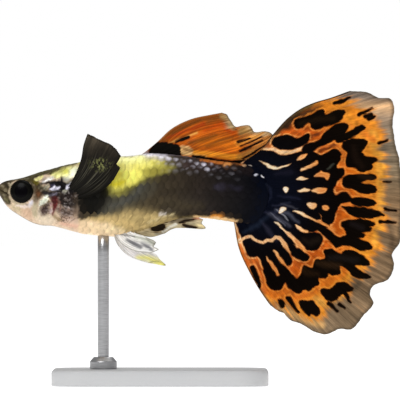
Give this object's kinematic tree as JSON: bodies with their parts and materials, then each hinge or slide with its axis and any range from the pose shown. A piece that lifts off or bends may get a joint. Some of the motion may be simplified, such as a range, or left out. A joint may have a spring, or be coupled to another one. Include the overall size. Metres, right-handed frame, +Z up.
{
  "type": "life-size fancy guppy model on a display stand",
  "caption": "Life-size male fancy guppy with a large fan tail in black and orange, held level by one thin rod on a flat base.",
  "frame": {"origin": "centre of the bounding box in X and Y, on the plane of the base's underside", "axes": "+Z up; the fish's length lies along X with its snout at -X and its tail fan at +X; its left side faces -Y"},
  "size_m": [0.0507, 0.018, 0.0368],
  "materials": {
    "skin": "painted resin skin: bronze and charcoal flank, yellow saddle, peach belly, under a wet gloss",
    "eye": "glossy black glass eye",
    "dorsal_membrane": "thin orange membrane with red-brown ray streaks and a black front base",
    "tail_membrane": "thin orange membrane with black blotches and a grey-beige streaked margin",
    "pale_membrane": "thin whitish membrane with dark blotches and yellow tips",
    "pectoral_membrane": "thin charcoal membrane with fine rays",
    "stand_lacquer": "satin pale grey lacquer",
    "stand_steel": "fine brushed steel"
  },
  "bodies": {
    "root": {"head": "skin", "jaw_lower": "skin", "gill_cover_left": "skin", "gill_cover_right": "skin", "trunk": "skin", "tail_stem": "skin", "eye_left": "eye", "eye_right": "eye", "fin_dorsal": "dorsal_membrane", "fin_caudal": "tail_membrane", "fin_anal": "pale_membrane", "fin_pelvic_left": "pale_membrane", "fin_pelvic_right": "pale_membrane", "fin_pectoral_left": "pectoral_membrane", "fin_pectoral_right": "pectoral_membrane", "stand_base": "stand_lacquer", "stand_rod": "stand_steel", "stand_collar": "stand_steel"}
  },
  "joints": []
}
